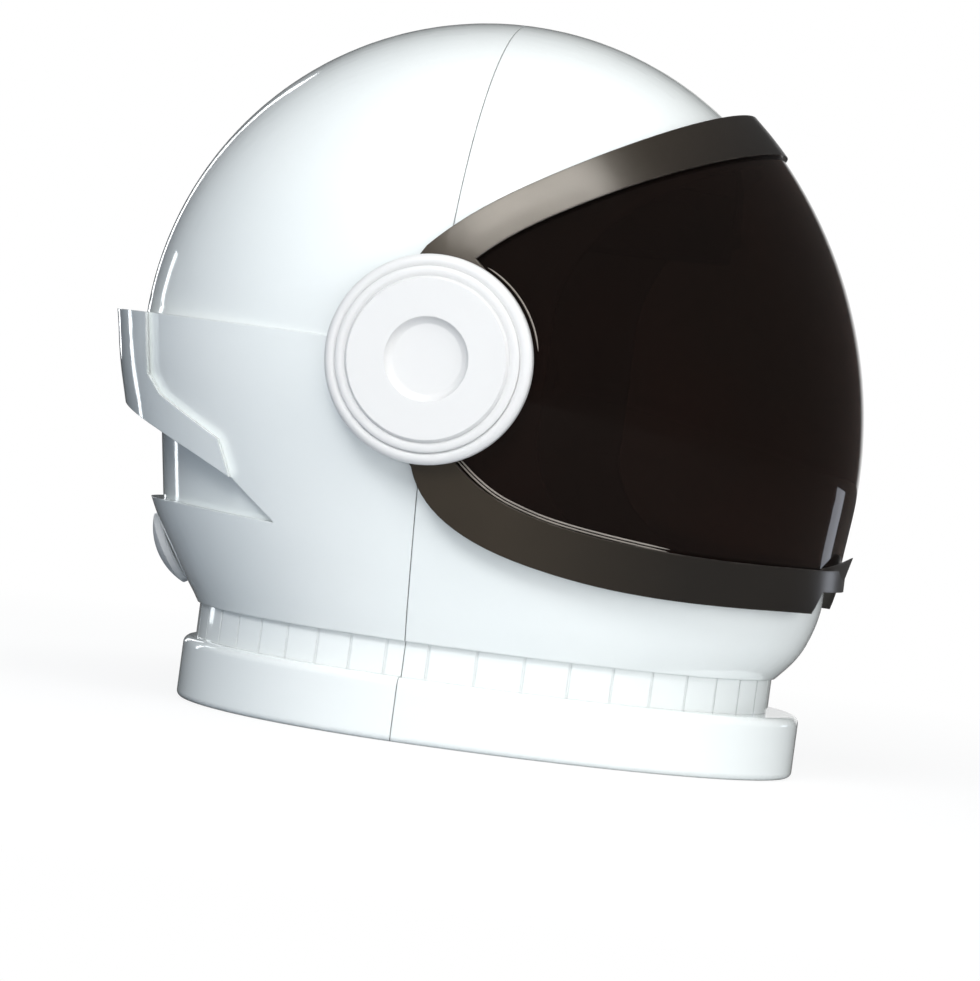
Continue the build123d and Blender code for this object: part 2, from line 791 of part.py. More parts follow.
pad_cut = place * Cylinder(crown_pad_radius, pad_rise * 2, align=standing)
crown_pad = (pad_dome(0) - pad_dome(crown_pad_thickness)) & pad_cut
crown_pad = fillet([edge for edge in crown_pad.edges() if edge.is_closed], crown_pad_edge)

parts = {
    "front_shell": front_shell,
    "rear_shell": rear_shell,
    "seam_screws": Compound(seam_screws),
    "visor_window": visor_window,
    "visor_frame": visor_frame,
    "ear_cap_left": ear_cap_left,
    "ear_cap_right": other_side(ear_cap_left),
    "ear_base_left": ear_base_left,
    "ear_base_right": other_side(ear_base_left),
    "friction_ring_left": friction_ring_left,
    "friction_ring_right": other_side(friction_ring_left),
    "pivot_washers": Compound([pivot_washer, other_side(pivot_washer)]),
    "pivot_screws": Compound([pivot_screw, other_side(pivot_screw)]),
    "adjuster_bush": bush,
    "adjuster_knob": knob,
    "adjuster_spindle": spindle,
    "spindle_clip": clip,
    "adjuster_bracket": bracket,
    "bracket_screws": Compound(bracket_screws),
    "nape_carrier": carrier,
    "nape_pad": nape_pad,
    "headband": headband,
    "sweatband": sweatband,
    "crown_strap_long": long_strap,
    "crown_strap_cross": cross_strap,
    "crown_pad": crown_pad,
    "strap_rivets": Compound(strap_rivets),
    "suspension_struts": Compound(struts),
    "strut_pins": Compound(strut_pins),
}
os.makedirs("parts", exist_ok=True)
for name, shape in parts.items():
    export_step(shape, f"parts/{name}.step")
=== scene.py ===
import bpy
import json
import math
from mathutils import Matrix, Quaternion, Vector
from mathutils.bvhtree import BVHTree


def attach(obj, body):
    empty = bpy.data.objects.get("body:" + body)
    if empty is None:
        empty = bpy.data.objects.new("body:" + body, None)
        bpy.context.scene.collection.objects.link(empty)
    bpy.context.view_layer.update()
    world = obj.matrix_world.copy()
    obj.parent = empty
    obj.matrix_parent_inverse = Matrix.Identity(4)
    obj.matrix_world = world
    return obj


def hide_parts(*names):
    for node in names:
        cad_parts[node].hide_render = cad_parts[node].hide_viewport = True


# A white astronaut helmet with a smoked visor that swings up, in a plain studio.
# Lengths are in metres unless a line says otherwise. The face looks along X.
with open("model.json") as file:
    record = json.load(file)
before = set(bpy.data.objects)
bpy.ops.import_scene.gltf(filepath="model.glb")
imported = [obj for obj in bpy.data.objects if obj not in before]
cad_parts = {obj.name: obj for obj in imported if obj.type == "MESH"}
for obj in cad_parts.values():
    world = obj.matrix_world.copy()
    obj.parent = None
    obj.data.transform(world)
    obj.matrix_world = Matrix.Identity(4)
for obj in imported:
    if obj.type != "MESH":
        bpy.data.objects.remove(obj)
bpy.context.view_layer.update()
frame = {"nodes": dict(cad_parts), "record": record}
nodes = frame["nodes"]
print("helmet loaded:", len(nodes), "pieces")

pivot = Vector((-0.0033, 0.0, 0.1595))  # middle of the ear axis


def placeObject(name, data):
    placed = bpy.data.objects.new(name, data)
    bpy.context.scene.collection.objects.link(placed)
    return placed


cameraValues = {
    "turn": 9.2,               # degrees from square on, toward the face
    "height": 4.0,             # degrees above the floor
    "roll": 7.6,               # degrees, the face comes lower in the picture
    "distance": 2.2,           # from the foot of the ear axis
    "lens": 183.5,             # millimetres, as the sensor is
    "sensor": 36,
    "farthest": 50,
    "footPixel": (437.8, 728.0),  # where that foot falls in the picture
    "picture": (980, 981),
}


def placeCamera(values):
    turn, height, roll = (math.radians(values[key]) for key in ("turn", "height", "roll"))
    back = Vector((math.sin(turn) * math.cos(height), -math.cos(turn) * math.cos(height),
                   math.sin(height)))
    level = Vector((math.cos(turn), math.sin(turn), 0))
    lift = back.cross(level)
    right = level * math.cos(roll) + lift * math.sin(roll)
    up = lift * math.cos(roll) - level * math.sin(roll)
    wide, tall = values["picture"]
    focal = values["lens"] / values["sensor"] * max(wide, tall)
    aside = wide / 2 - values["footPixel"][0]
    above = values["footPixel"][1] - tall / 2
    away = (back * focal - right * aside - up * above).normalized()
    across = up.cross(away).normalized()
    upward = away.cross(across)
    data = bpy.data.cameras.new("studioCamera")
    data.lens = values["lens"]
    data.sensor_width = values["sensor"]
    data.clip_end = values["farthest"]
    camera = placeObject("studioCamera", data)
    turned = Matrix((across, upward, away)).transposed().to_4x4()
    foot = Vector((pivot.x, 0, 0))
    camera.matrix_world = Matrix.Translation(foot + back * values["distance"]) @ turned
    bpy.context.scene.camera = camera


placeCamera(cameraValues)
print("camera placed")


# Node helpers
def emptyTree(owner):
    owner.use_nodes = True
    owner.node_tree.nodes.clear()
    return owner.node_tree


def fillSockets(tree, node, sockets):
    for key, value in sockets.items():
        if isinstance(value, bpy.types.NodeSocket):
            tree.links.new(value, node.inputs[key])
        else:
            node.inputs[key].default_value = value


def addNode(tree, kind, sockets=None, **settings):
    node = tree.nodes.new("ShaderNode" + kind)
    for key, value in settings.items():
        setattr(node, key, value)
    fillSockets(tree, node, sockets or {})
    return node


def mathNode(tree, operation, first, second=0.0, third=0.0):
    return addNode(tree, "Math", {0: first, 1: second, 2: third}, operation=operation).outputs[0]


def mixColour(tree, factor, first, second):
    return addNode(tree, "Mix", {0: factor, 6: first, 7: second}, data_type="RGBA").outputs[2]


def mixShaders(tree, factor, first, second):
    return addNode(tree, "MixShader", {0: factor, 1: first.outputs[0], 2: second.outputs[0]})


def fitRange(tree, value, low, high, toLow=0.0, toHigh=1.0):
    return addNode(tree, "MapRange", {0: value, 1: low, 2: high, 3: toLow, 4: toHigh}).outputs[0]


def objectPlace(tree):
    return addNode(tree, "TexCoord").outputs["Object"]


def noiseNode(tree, place, settings):
    return addNode(tree, "TexNoise", {"Vector": place, **settings}).outputs["Fac"]


def startGroup(name, inputs, outputs):
    tree = bpy.data.node_groups.new(name, "ShaderNodeTree")
    for label, kind, value in inputs:
        socket = tree.interface.new_socket(name=label, in_out="INPUT", socket_type="NodeSocket" + kind)
        socket.default_value = value
    for label, kind in outputs:
        tree.interface.new_socket(name=label, in_out="OUTPUT", socket_type="NodeSocket" + kind)
    return tree, tree.nodes.new("NodeGroupInput").outputs, tree.nodes.new("NodeGroupOutput").inputs


def rgb(red, green, blue):
    return (red, green, blue, 1.0)


# Shared effects
skinValues = {
    "driftDetail": 3.0,
    "driftRange": (0.38, 0.68),
    "smudge": {"Scale": 46.0, "Detail": 5.0, "Roughness": 0.62, "Distortion": 0.8},
    "smudgeRange": (0.42, 0.66),
    "rippleDetail": 2.0,
}


def makeMouldedSkin(values):
    # Slow colour drift, finger smudges and the faint ripple of moulded plastic
    tree, given, out = startGroup("mouldedSkin", [
        ("Colour", "Color", rgb(0.8, 0.8, 0.8)),
        ("Drift Colour", "Color", rgb(0.7, 0.7, 0.7)),
        ("Drift Scale", "Float", 14.0),
        ("Ripple Scale", "Float", 700.0),
        ("Low Roughness", "Float", 0.1),
        ("High Roughness", "Float", 0.2),
    ], [("Colour", "Color"), ("Roughness", "Float"), ("Height", "Float")])
    place = objectPlace(tree)
    drift = noiseNode(tree, place, {"Scale": given["Drift Scale"], "Detail": values["driftDetail"]})
    share = fitRange(tree, drift, *values["driftRange"])
    tree.links.new(mixColour(tree, share, given["Colour"], given["Drift Colour"]), out["Colour"])
    smear = fitRange(tree, noiseNode(tree, place, values["smudge"]), *values["smudgeRange"])
    low, high = given["Low Roughness"], given["High Roughness"]
    spread = mathNode(tree, "SUBTRACT", high, low)
    tree.links.new(mathNode(tree, "MULTIPLY_ADD", smear, spread, low), out["Roughness"])
    ripple = noiseNode(tree, place, {"Scale": given["Ripple Scale"], "Detail": values["rippleDetail"]})
    tree.links.new(ripple, out["Height"])
    return tree


edgeValues = {
    "samples": 6,
    "turnRange": (0.995, 0.86),    # cosine between the rounded and the true normal
    "patch": {"Scale": 210.0, "Detail": 4.0, "Roughness": 0.7},
    "patchRange": (0.40, 0.62),
}


def makeWornEdge(values):
    # Finds the edges by rounding the normal, then scuffs them unevenly
    tree, given, out = startGroup("wornEdge", [
        ("Colour", "Color", rgb(0.8, 0.8, 0.8)),
        ("Worn Colour", "Color", rgb(0.6, 0.6, 0.6)),
        ("Width", "Float", 0.0008),
        ("Strength", "Float", 0.6),
    ], [("Colour", "Color"), ("Mask", "Float"), ("Normal", "Vector")])
    soft = addNode(tree, "Bevel", {"Radius": given["Width"]}, samples=values["samples"]).outputs[0]
    plain = addNode(tree, "NewGeometry").outputs["Normal"]
    dot = addNode(tree, "VectorMath", {0: soft, 1: plain}, operation="DOT_PRODUCT").outputs["Value"]
    turnAway = fitRange(tree, dot, *values["turnRange"])
    patchy = fitRange(tree, noiseNode(tree, objectPlace(tree), values["patch"]), *values["patchRange"])
    mask = mathNode(tree, "MULTIPLY", mathNode(tree, "MULTIPLY", turnAway, patchy), given["Strength"])
    tree.links.new(mask, out["Mask"])
    tree.links.new(mixColour(tree, mask, given["Colour"], given["Worn Colour"]), out["Colour"])
    tree.links.new(soft, out["Normal"])
    return tree


dustValues = {
    "lyingRange": (0.15, 0.95),    # how far a face has to turn upward
    "grain": {"Scale": 420.0, "Detail": 6.0, "Roughness": 0.75},
    "grainRange": (0.45, 0.75),
}


def makeSettledDust(values):
    # Thin dust that lies on faces turned upward
    tree, given, out = startGroup("settledDust", [
        ("Colour", "Color", rgb(0.8, 0.8, 0.8)),
        ("Dust Colour", "Color", rgb(0.6, 0.58, 0.54)),
        ("Amount", "Float", 0.1),
    ], [("Colour", "Color"), ("Mask", "Float")])
    normal = addNode(tree, "NewGeometry").outputs["Normal"]
    upward = addNode(tree, "SeparateXYZ", {0: normal}).outputs["Z"]
    lying = fitRange(tree, upward, *values["lyingRange"])
    grain = fitRange(tree, noiseNode(tree, objectPlace(tree), values["grain"]), *values["grainRange"])
    mask = mathNode(tree, "MULTIPLY", mathNode(tree, "MULTIPLY", lying, grain), given["Amount"])
    tree.links.new(mask, out["Mask"])
    tree.links.new(mixColour(tree, mask, given["Colour"], given["Dust Colour"]), out["Colour"])
    return tree


scratchValues = {
    "tilt": 0.2,                           # radians, as the turns are
    "sets": ((0.35, 26.0), (-0.62, 34.0)), # turn and stretch of each set
    "detail": 1.0,
    "lineRange": (0.70, 0.76),
}


def makeHairScratches(values):
    # Long fine scratches in two directions, for polished sheet
    tree, given, out = startGroup("hairScratches", [
        ("Scale", "Float", 60.0),
        ("Strength", "Float", 0.5),
    ], [("Mask", "Float"), ("Height", "Float")])
    place = objectPlace(tree)
    scratches = []
    for angle, stretch in values["sets"]:
        turned = addNode(tree, "Mapping", {
            "Vector": place, "Rotation": (values["tilt"], angle, angle),
            "Scale": (1.0, stretch, stretch)}).outputs[0]
        lines = noiseNode(tree, turned, {"Scale": given["Scale"], "Detail": values["detail"]})
        scratches.append(fitRange(tree, lines, *values["lineRange"]))
    mask = mathNode(tree, "MULTIPLY", mathNode(tree, "MAXIMUM", *scratches), given["Strength"])
    tree.links.new(mask, out["Mask"])
    tree.links.new(mathNode(tree, "SUBTRACT", 1.0, mask), out["Height"])
    return tree


knitValues = {
    "looseness": 0.55,
    "hollowRange": (0.16, 0.5),
    "fade": {"Scale": 60.0, "Detail": 4.0},
    "fadeRange": (0.45, 0.75, 0.0, 0.35),
    "faded": rgb(0.20, 0.20, 0.21),
    "roughRange": (0.3, 0.7, 0.82, 0.96),
}


def makeKnitCloth(values):
    # Close round-mesh knit, drawn in space so that it needs no unwrapping
    tree, given, out = startGroup("knitCloth", [
        ("Colour", "Color", rgb(0.08, 0.08, 0.09)),
        ("Hollow Colour", "Color", rgb(0.02, 0.02, 0.02)),
        ("Stitches", "Float", 620.0),
    ], [("Colour", "Color"), ("Roughness", "Float"), ("Height", "Float")])
    place = objectPlace(tree)
    cells = addNode(tree, "TexVoronoi", {
        "Vector": place, "Scale": given["Stitches"], "Randomness": values["looseness"]})
    hollow = fitRange(tree, cells.outputs["Distance"], *values["hollowRange"])
    fade = noiseNode(tree, place, values["fade"])
    worn = mixColour(tree, fitRange(tree, fade, *values["fadeRange"]), given["Colour"], values["faded"])
    tree.links.new(mixColour(tree, hollow, given["Hollow Colour"], worn), out["Colour"])
    tree.links.new(fitRange(tree, fade, *values["roughRange"]), out["Roughness"])
    tree.links.new(hollow, out["Height"])
    return tree


weaveValues = {                # millimetres
    "zigzag": 2.5,             # half the width of one herringbone row
    "yarns": 1.25,             # a millimetre, as the ribs are
    "ribs": 1.2,
    "ribShare": 0.5,
    "stitchAt": 7.6,           # the sewn rows, from the strap's middle
    "rowRange": (0.42, 0.30),
    "stitchLength": 1.6,
    "dashRange": (0.28, 0.38),
    "threadHeight": 1.6,       # share of a yarn's height
}


def makeWebWeave(values):
    # Herringbone webbing with sewn edge rows, laid along the strap's own map
    tree, given, out = startGroup("webWeave", [
        ("Colour", "Color", rgb(0.06, 0.06, 0.06)),
        ("Gap Colour", "Color", rgb(0.015, 0.015, 0.015)),
        ("Thread Colour", "Color", rgb(0.35, 0.35, 0.36)),
    ], [("Colour", "Color"), ("Height", "Float")])
    spot = addNode(tree, "SeparateXYZ", {0: addNode(tree, "UVMap", uv_map="strapMap").outputs[0]})
    across, along = spot.outputs["X"], spot.outputs["Y"]
    zigzag = mathNode(tree, "PINGPONG", across, values["zigzag"])
    slope = mathNode(tree, "MULTIPLY", mathNode(tree, "ADD", along, zigzag), values["yarns"])
    slant = mathNode(tree, "FRACT", slope)
    yarn = mathNode(tree, "SINE", mathNode(tree, "MULTIPLY", slant, math.pi))
    wave = mathNode(tree, "SINE", mathNode(tree, "MULTIPLY", across, math.pi * values["ribs"]))
    rib = mathNode(tree, "ABSOLUTE", wave)
    raised = mathNode(tree, "MULTIPLY_ADD", rib, values["ribShare"], 1 - values["ribShare"])
    height = mathNode(tree, "MULTIPLY", yarn, raised)
    outward = mathNode(tree, "SUBTRACT", mathNode(tree, "ABSOLUTE", across), values["stitchAt"])
    row = fitRange(tree, mathNode(tree, "ABSOLUTE", outward), *values["rowRange"])
    beat = mathNode(tree, "PINGPONG", along, values["stitchLength"])
    stitch = mathNode(tree, "MULTIPLY", row, fitRange(tree, beat, *values["dashRange"]))
    cloth = mixColour(tree, height, given["Gap Colour"], given["Colour"])
    tree.links.new(mixColour(tree, stitch, cloth, given["Thread Colour"]), out["Colour"])
    thread = mathNode(tree, "MULTIPLY", stitch, values["threadHeight"])
    tree.links.new(mathNode(tree, "MAXIMUM", height, thread), out["Height"])
    return tree


steelValues = {
    "bloom": {"Scale": 260.0, "Detail": 5.0},
    "bloomRange": (0.4, 0.7),
    "roughRange": (0.3, 0.7, 0.22, 0.46),
    "lines": {"Scale": 2600.0, "Detail": 2.0},
}


def makeTurnedSteel(values):
    # Zinc bloom and fine turning lines of small steel hardware
    tree, given, out = startGroup("turnedSteel", [
        ("Colour", "Color", rgb(0.62, 0.62, 0.64)),
        ("Bloom Colour", "Color", rgb(0.42, 0.43, 0.46)),
    ], [("Colour", "Color"), ("Roughness", "Float"), ("Height", "Float")])
    place = objectPlace(tree)
    bloom = noiseNode(tree, place, values["bloom"])
    share = fitRange(tree, bloom, *values["bloomRange"])
    tree.links.new(mixColour(tree, share, given["Colour"], given["Bloom Colour"]), out["Colour"])
    tree.links.new(fitRange(tree, bloom, *values["roughRange"]), out["Roughness"])
    tree.links.new(noiseNode(tree, place, values["lines"]), out["Height"])
    return tree


groups = {
    "mouldedSkin": makeMouldedSkin(skinValues),
    "wornEdge": makeWornEdge(edgeValues),
    "settledDust": makeSettledDust(dustValues),
    "hairScratches": makeHairScratches(scratchValues),
    "knitCloth": makeKnitCloth(knitValues),
    "webWeave": makeWebWeave(weaveValues),
    "turnedSteel": makeTurnedSteel(steelValues),
}
print("shader groups made:", len(groups))


# Materials
def useGroup(tree, name, sockets):
    node = tree.nodes.new("ShaderNodeGroup")
    node.node_tree = groups[name]
    fillSockets(tree, node, sockets)
    return node.outputs


def startMaterial(name, surface):
    material = bpy.data.materials.new(name)
    tree = emptyTree(material)
    shader = addNode(tree, "BsdfPrincipled", surface)
    addNode(tree, "OutputMaterial", {"Surface": shader.outputs[0]})
    return material, tree, shader.inputs


def addBump(tree, shader, height, depth, normal=None):
    bump = addNode(tree, "Bump", {"Height": height, "Distance": depth, "Strength": 1.0})
    if normal is not None:
        tree.links.new(normal, bump.inputs["Normal"])
    tree.links.new(bump.outputs[0], shader["Normal"])


def useSkin(tree, values):
    return useGroup(tree, "mouldedSkin", {
        "Colour": values["colour"], "Drift Colour": values["drift"], "Drift Scale": values["driftScale"],
        "Low Roughness": values["gloss"][0], "High Roughness": values["gloss"][1],
        "Ripple Scale": values["rippleScale"]})


def useEdge(tree, colour, values):
    return useGroup(tree, "wornEdge", {
        "Colour": colour, "Worn Colour": values["worn"],
        "Width": values["edgeWidth"], "Strength": values["edgeWear"]})


def useDust(tree, colour, values):
    return useGroup(tree, "settledDust", {
        "Colour": colour, "Dust Colour": values["dustColour"], "Amount": values["dust"]})


def addRough(tree, rough, mask, amount):
    return mathNode(tree, "ADD", rough, mathNode(tree, "MULTIPLY", mask, amount))


shellFinish = {
    "surface": {"IOR": 1.5, "Coat Roughness": 0.03, "Coat Weight": 0.5, "Specular IOR Level": 0.5},
    "colour": rgb(0.872, 0.900, 0.892),
    "drift": rgb(0.843, 0.879, 0.874),
    "driftScale": 9.0,
    "gloss": (0.055, 0.12),
    "rippleScale": 420.0,
    "ripple": 0.000012,
    "worn": rgb(0.60, 0.62, 0.64),
    "edgeWidth": 0.0009,
    "edgeWear": 0.35,
    "edgeRough": 0.3,
    "dustColour": rgb(0.66, 0.66, 0.65),
    "dust": 0.10,
    "dustRough": 0.5,
    "seamRange": (0.0010, 0.0004), # from the seam, where its painted shade ends and where it is full
    # the next three values paint shade spots along the seam
    "seamShade": {"Scale": 24.0, "Detail": 3.0},
    "seamShadeRange": (0.60, 0.68, 0.0, 0.85),
    "seamShadeColour": rgb(0.12, 0.12, 0.13),
}


def makeShellWhite(values):
    material, tree, shader = startMaterial("shellWhite", values["surface"])
    skin = useSkin(tree, values)
    edge = useEdge(tree, skin["Colour"], values)
    # Painted shade here and there in the seam between the halves, where the gap is shadowed
    place = objectPlace(tree)
    ahead = addNode(tree, "SeparateXYZ", {0: place}).outputs["X"]
    aside = mathNode(tree, "ABSOLUTE", mathNode(tree, "SUBTRACT", ahead, pivot.x))
    shadeSpots = fitRange(tree, noiseNode(tree, place, values["seamShade"]), *values["seamShadeRange"])
    seamShade = mathNode(tree, "MULTIPLY", fitRange(tree, aside, *values["seamRange"]), shadeSpots)
    seamShaded = mixColour(tree, seamShade, edge["Colour"], values["seamShadeColour"])
    dust = useDust(tree, seamShaded, values)
    tree.links.new(dust["Colour"], shader["Base Color"])
    dusty = addRough(tree, skin["Roughness"], dust["Mask"], values["dustRough"])
    tree.links.new(addRough(tree, dusty, edge["Mask"], values["edgeRough"]), shader["Roughness"])
    addBump(tree, shader, skin["Height"], values["ripple"], edge["Normal"])
    return material


capFinish = {
    "surface": {"IOR": 1.49, "Coat Weight": 0.15, "Coat Roughness": 0.12},
    "colour": rgb(0.725, 0.722, 0.718),
    "drift": rgb(0.720, 0.717, 0.713),
    "driftScale": 22.0,
    "gloss": (0.30, 0.315),
    "rippleScale": 900.0,
    "ripple": 0.00001,
    "worn": rgb(0.62, 0.63, 0.64),
    "edgeWidth": 0.0007,
    "edgeWear": 0.4,
    "edgeRough": 0.25,
    "dustColour": rgb(0.66, 0.66, 0.65),
    "dust": 0.03,
}


def makeCapWhite(values):
    material, tree, shader = startMaterial("capWhite", values["surface"])
    skin = useSkin(tree, values)
    edge = useEdge(tree, skin["Colour"], values)
    tree.links.new(useDust(tree, edge["Colour"], values)["Colour"], shader["Base Color"])
    rough = addRough(tree, skin["Roughness"], edge["Mask"], values["edgeRough"])
    tree.links.new(rough, shader["Roughness"])
    addBump(tree, shader, skin["Height"], values["ripple"], edge["Normal"])
    return material


smokeFinish = {
    "surface": {"Transmission Weight": 0.93, "IOR": 1.45, "Specular IOR Level": 0.22},
    "tint": rgb(0.050, 0.034, 0.028),
    "warmTint": rgb(0.062, 0.034, 0.027),
    "cast": {"Scale": 7.0, "Detail": 2.0},
    "castRange": (0.4, 0.65),
    "hair": {"Scale": 90.0, "Strength": 0.5},
    "hairRough": 0.12,
    "hairDepth": 0.000006,
    "film": {"Scale": 34.0, "Detail": 5.0, "Distortion": 1.2},
    "filmRange": (0.46, 0.70, 0.012, 0.055),
}


def makeSmokeWindow(values):
    surface = {**values["surface"], "Base Color": values["tint"]}
    material, tree, shader = startMaterial("smokeWindow", surface)
    place = objectPlace(tree)
    cast = fitRange(tree, noiseNode(tree, place, values["cast"]), *values["castRange"])
    tree.links.new(mixColour(tree, cast, values["tint"], values["warmTint"]), shader["Base Color"])
    hair = useGroup(tree, "hairScratches", values["hair"])
    film = fitRange(tree, noiseNode(tree, place, values["film"]), *values["filmRange"])
    rough = mathNode(tree, "MULTIPLY_ADD", hair["Mask"], values["hairRough"], film)
    tree.links.new(rough, shader["Roughness"])
    addBump(tree, shader, hair["Height"], values["hairDepth"])
    return material


bandFinish = {
    "surface": {
        "IOR": 1.52, "Coat Weight": 0.9, "Coat Roughness": 0.25, "Specular IOR Level": 0.95,
        "Specular Tint": rgb(1.0, 0.93, 0.83)},
    "colour": rgb(0.038, 0.029, 0.020),
    "drift": rgb(0.034, 0.026, 0.018),
    "driftScale": 26.0,
    "deep": rgb(0.012, 0.010, 0.009),   # painted shade toward the front
    "frontShadeRange": (0.035, 0.110),          # ahead of the middle, where that painted shade begins and is full
    "gloss": (0.28, 0.31),
    "rippleScale": 1500.0,
    "ripple": 0.00002,
    "worn": rgb(0.12, 0.105, 0.095),
    "edgeWidth": 0.0010,
    "edgeWear": 0.5,
    "dustColour": rgb(0.22, 0.20, 0.18),
    "dust": 0.04,
    "dustRough": 0.8,
}


def makeSmokeBand(values):
    material, tree, shader = startMaterial("smokeBand", values["surface"])
    skin = useSkin(tree, values)
    # Painted shade: the band's colour is made darker toward the front
    ahead = addNode(tree, "SeparateXYZ", {0: objectPlace(tree)}).outputs["X"]
    frontShaded = mixColour(tree, fitRange(tree, ahead, *values["frontShadeRange"]), skin["Colour"], values["deep"])
    edge = useEdge(tree, frontShaded, values)
    dust = useDust(tree, edge["Colour"], values)
    tree.links.new(dust["Colour"], shader["Base Color"])
    rough = addRough(tree, skin["Roughness"], dust["Mask"], values["dustRough"])
    tree.links.new(rough, shader["Roughness"])
    addBump(tree, shader, skin["Height"], values["ripple"], edge["Normal"])
    return material


plainFinish = {
    "surface": {"IOR": 1.5},
    "driftScale": 30.0,
    "edgeWidth": 0.0006,
    "edgeWear": 0.5,
}
nylonFinish = {
    **plainFinish,
    "colour": rgb(0.74, 0.74, 0.70),
    "drift": rgb(0.68, 0.68, 0.63),
    "worn": rgb(0.86, 0.86, 0.84),
    "gloss": (0.38, 0.5),
    "rippleScale": 1400.0,
    "ripple": 0.00001,
}
blackFinish = {
    **plainFinish,
    "colour": rgb(0.035, 0.035, 0.038),
    "drift": rgb(0.05, 0.05, 0.054),
    "worn": rgb(0.16, 0.16, 0.17),
    "gloss": (0.42, 0.56),
    "rippleScale": 1900.0,
    "ripple": 0.00005,
}
# The bead ridges are real; their pale colour on the dark visor plastic is a painted highlight
beadHighlightFinish = {
    **plainFinish,
    "colour": rgb(0.30, 0.27, 0.24),
    "drift": rgb(0.22, 0.20, 0.18),
    "worn": rgb(0.5, 0.47, 0.44),
    "gloss": (0.10, 0.18),
    "rippleScale": 900.0,
    "ripple": 0.000004,
}


def makePlainPlastic(name, values):
    material, tree, shader = startMaterial(name, values["surface"])
    skin = useSkin(tree, values)
    edge = useEdge(tree, skin["Colour"], values)
    tree.links.new(edge["Colour"], shader["Base Color"])
    tree.links.new(skin["Roughness"], shader["Roughness"])
    addBump(tree, shader, skin["Height"], values["ripple"], edge["Normal"])
    return material


steelFinish = {
    "surface": {"Metallic": 1.0},
    "worn": rgb(0.78, 0.78, 0.78),
    "edgeWidth": 0.0004,
    "edgeWear": 0.8,
    "lineDepth": 0.000006,
}


def makeSteel(values):
    material, tree, shader = startMaterial("zincSteel", values["surface"])
    metal = useGroup(tree, "turnedSteel", {})
    edge = useEdge(tree, metal["Colour"], values)
    tree.links.new(edge["Colour"], shader["Base Color"])
    tree.links.new(metal["Roughness"], shader["Roughness"])
    addBump(tree, shader, metal["Height"], values["lineDepth"], edge["Normal"])
    return material


padFinish = {
    "surface": {"Sheen Weight": 0.35, "Sheen Roughness": 0.5},
    "knit": {},
    "depth": 0.00035,
}
pipingFinish = {
    "surface": {"Sheen Weight": 0.2},
    "knit": {"Stitches": 1300.0, "Colour": rgb(0.13, 0.13, 0.14)},
    "depth": 0.00015,
}


def makeKnit(name, values):
    material, tree, shader = startMaterial(name, values["surface"])
    knit = useGroup(tree, "knitCloth", values["knit"])
    tree.links.new(knit["Colour"], shader["Base Color"])
    tree.links.new(knit["Roughness"], shader["Roughness"])
    addBump(tree, shader, knit["Height"], values["depth"])
    return material


webbingFinish = {
    "surface": {"Roughness": 0.78, "Sheen Weight": 0.2},
    "depth": 0.00022,
}


def makeStrapWeb(values):
    material, tree, shader = startMaterial("strapWeb", values["surface"])
    weave = useGroup(tree, "webWeave", {})
    tree.links.new(weave["Colour"], shader["Base Color"])
    addBump(tree, shader, weave["Height"], values["depth"])
    return material


finishes = {
    "shell_white": makeShellWhite(shellFinish),
    "cap_white": makeCapWhite(capFinish),
    "visor_smoke": makeSmokeWindow(smokeFinish),
    "visor_band": makeSmokeBand(bandFinish),
    "screw_steel": makeSteel(steelFinish),
    "nylon": makePlainPlastic("naturalNylon", nylonFinish),
    "black_plastic": makePlainPlastic("blackPlastic", blackFinish),
    "pad_foam": makeKnit("padCloth", padFinish),
    "strap_webbing": makeStrapWeb(webbingFinish),
}
piping = makeKnit("pipingCloth", pipingFinish)
highlightBeads = makePlainPlastic("beadHighlight", beadHighlightFinish)
print("finishes made:", len(finishes))

for part in frame["record"]["subparts"]:
    mesh = nodes[part["node"]].data
    mesh.materials.clear()
    mesh.materials.append(finishes[part["material_slot"]])
print("finishes set on the hard pieces")


# Soft pieces inside, and the trim of the window
def newPiece(name, points, faces, material, body):
    mesh = bpy.data.meshes.new(name)
    mesh.from_pydata([tuple(point) for point in points], [], faces)
    mesh.materials.append(material)
    mesh.validate()
    mesh.shade_smooth()
    piece = placeObject(name, mesh)
    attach(piece, body)
    return piece


def weldPiece(piece, reach=0.00002):
    weld = piece.modifiers.new("weld", "WELD")
    weld.merge_threshold = reach
    bpy.context.view_layer.objects.active = piece
    bpy.ops.object.modifier_apply(modifier="weld")


def circlePoints(centre, first, second, radius, sides):
    points = []
    for side in range(sides):
        angle = 2 * math.pi * side / sides
        points.append(centre + (first * math.cos(angle) + second * math.sin(angle)) * radius)
    return points


def closedTube(centres, frames, radius, sides):
    # A round tube along closed points, for piping
    points, faces = [], []
    count = len(centres)
    for centre, (first, second) in zip(centres, frames):
        points += circlePoints(centre, first, second, radius, sides)
    for step in range(count):
        for side in range(sides):
            nextStep, nextSide = (step + 1) % count, (side + 1) % sides
            faces.append((step * sides + side, step * sides + nextSide,
                          nextStep * sides + nextSide, nextStep * sides + side))
    return points, faces


def cappedFaces(start, steps, sides):
    # Walls and both ends of a tube whose rings of points follow one another
    faces = []
    for step in range(steps):
        near, far = start + step * sides, start + (step + 1) * sides
        for side in range(sides):
            nextSide = (side + 1) % sides
            faces.append((near + side, near + nextSide, far + nextSide, far + side))
    faces.append(tuple(start + side for side in reversed(range(sides))))
    faces.append(tuple(start + steps * sides + side for side in range(sides)))
    return faces


